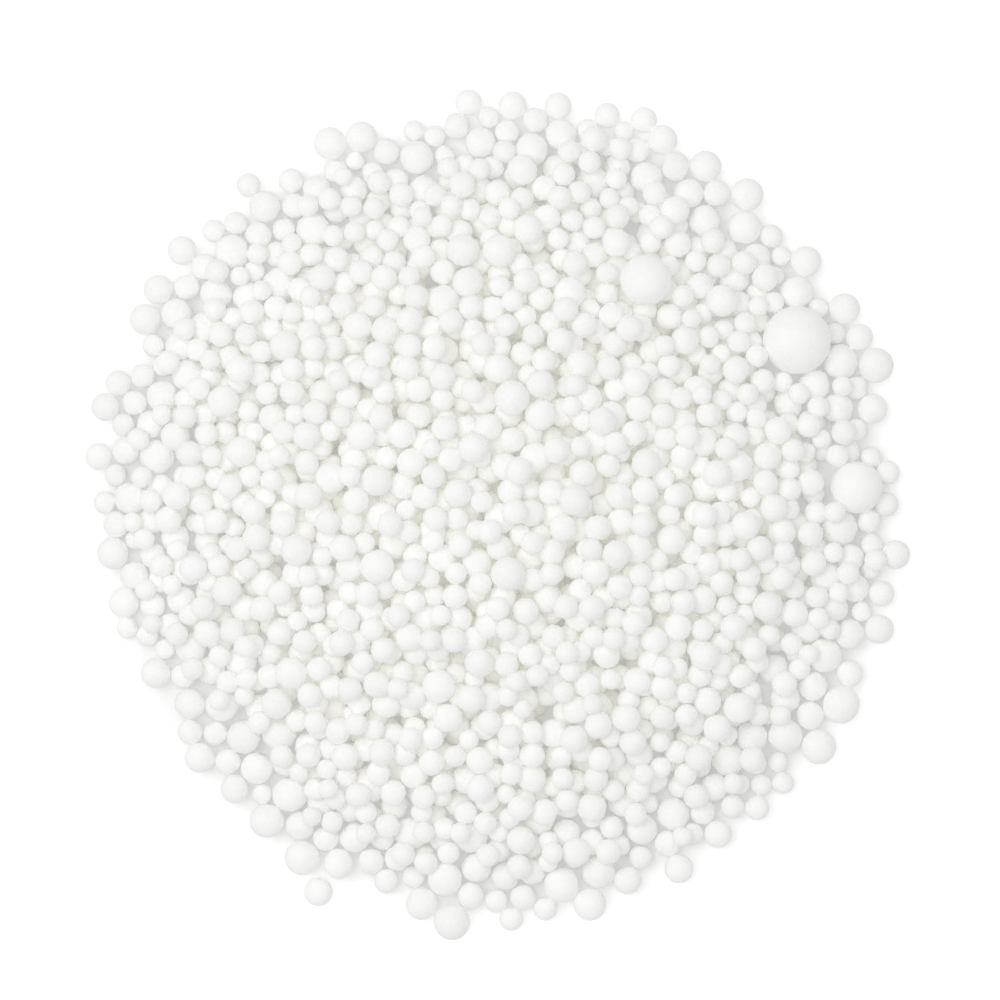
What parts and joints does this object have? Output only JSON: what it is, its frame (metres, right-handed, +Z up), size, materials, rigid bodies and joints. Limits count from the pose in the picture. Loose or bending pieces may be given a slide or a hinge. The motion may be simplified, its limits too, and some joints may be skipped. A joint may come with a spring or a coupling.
{
  "type": "heap of polystyrene beads",
  "caption": "Low round heap of loose white expanded polystyrene filler beads of mixed sizes, with one bead lying just beside it.",
  "frame": {"origin": "on the flat surface that the heap lies on, under the middle of its bounding box", "axes": "+Z up, out of the surface. +X right and +Y away, as in the picture, which looks straight down along -Z"},
  "size_m": [0.1238, 0.1276, 0.0175],
  "materials": {
    "eps_foam": "matt white foam with a fine cell texture"
  },
  "bodies": {
    "root": {"bead_heap": "eps_foam", "rim_bead_01": "eps_foam", "rim_bead_02": "eps_foam", "rim_bead_03": "eps_foam", "rim_bead_04": "eps_foam", "rim_bead_05": "eps_foam", "rim_bead_06": "eps_foam", "rim_bead_07": "eps_foam", "rim_bead_08": "eps_foam", "rim_bead_09": "eps_foam", "rim_bead_10": "eps_foam", "rim_bead_11": "eps_foam", "rim_bead_12": "eps_foam", "rim_bead_13": "eps_foam", "rim_bead_14": "eps_foam", "rim_bead_15": "eps_foam", "rim_bead_16": "eps_foam", "rim_bead_17": "eps_foam", "rim_bead_18": "eps_foam", "rim_bead_19": "eps_foam", "rim_bead_20": "eps_foam", "rim_bead_21": "eps_foam", "rim_bead_22": "eps_foam", "rim_bead_23": "eps_foam", "rim_bead_24": "eps_foam", "rim_bead_25": "eps_foam", "rim_bead_26": "eps_foam", "rim_bead_27": "eps_foam", "rim_bead_28": "eps_foam", "rim_bead_29": "eps_foam", "rim_bead_30": "eps_foam", "rim_bead_31": "eps_foam", "rim_bead_32": "eps_foam", "rim_bead_33": "eps_foam", "rim_bead_34": "eps_foam", "rim_bead_35": "eps_foam", "rim_bead_36": "eps_foam", "rim_bead_37": "eps_foam", "rim_bead_38": "eps_foam", "rim_bead_39": "eps_foam", "rim_bead_40": "eps_foam", "rim_bead_41": "eps_foam", "rim_bead_42": "eps_foam", "rim_bead_43": "eps_foam", "rim_bead_44": "eps_foam", "rim_bead_45": "eps_foam", "rim_bead_46": "eps_foam", "rim_bead_47": "eps_foam", "rim_bead_48": "eps_foam", "rim_bead_49": "eps_foam", "rim_bead_50": "eps_foam", "rim_bead_51": "eps_foam", "rim_bead_52": "eps_foam", "rim_bead_53": "eps_foam", "rim_bead_54": "eps_foam", "rim_bead_55": "eps_foam", "rim_bead_56": "eps_foam", "stray_bead": "eps_foam"}
  },
  "joints": []
}
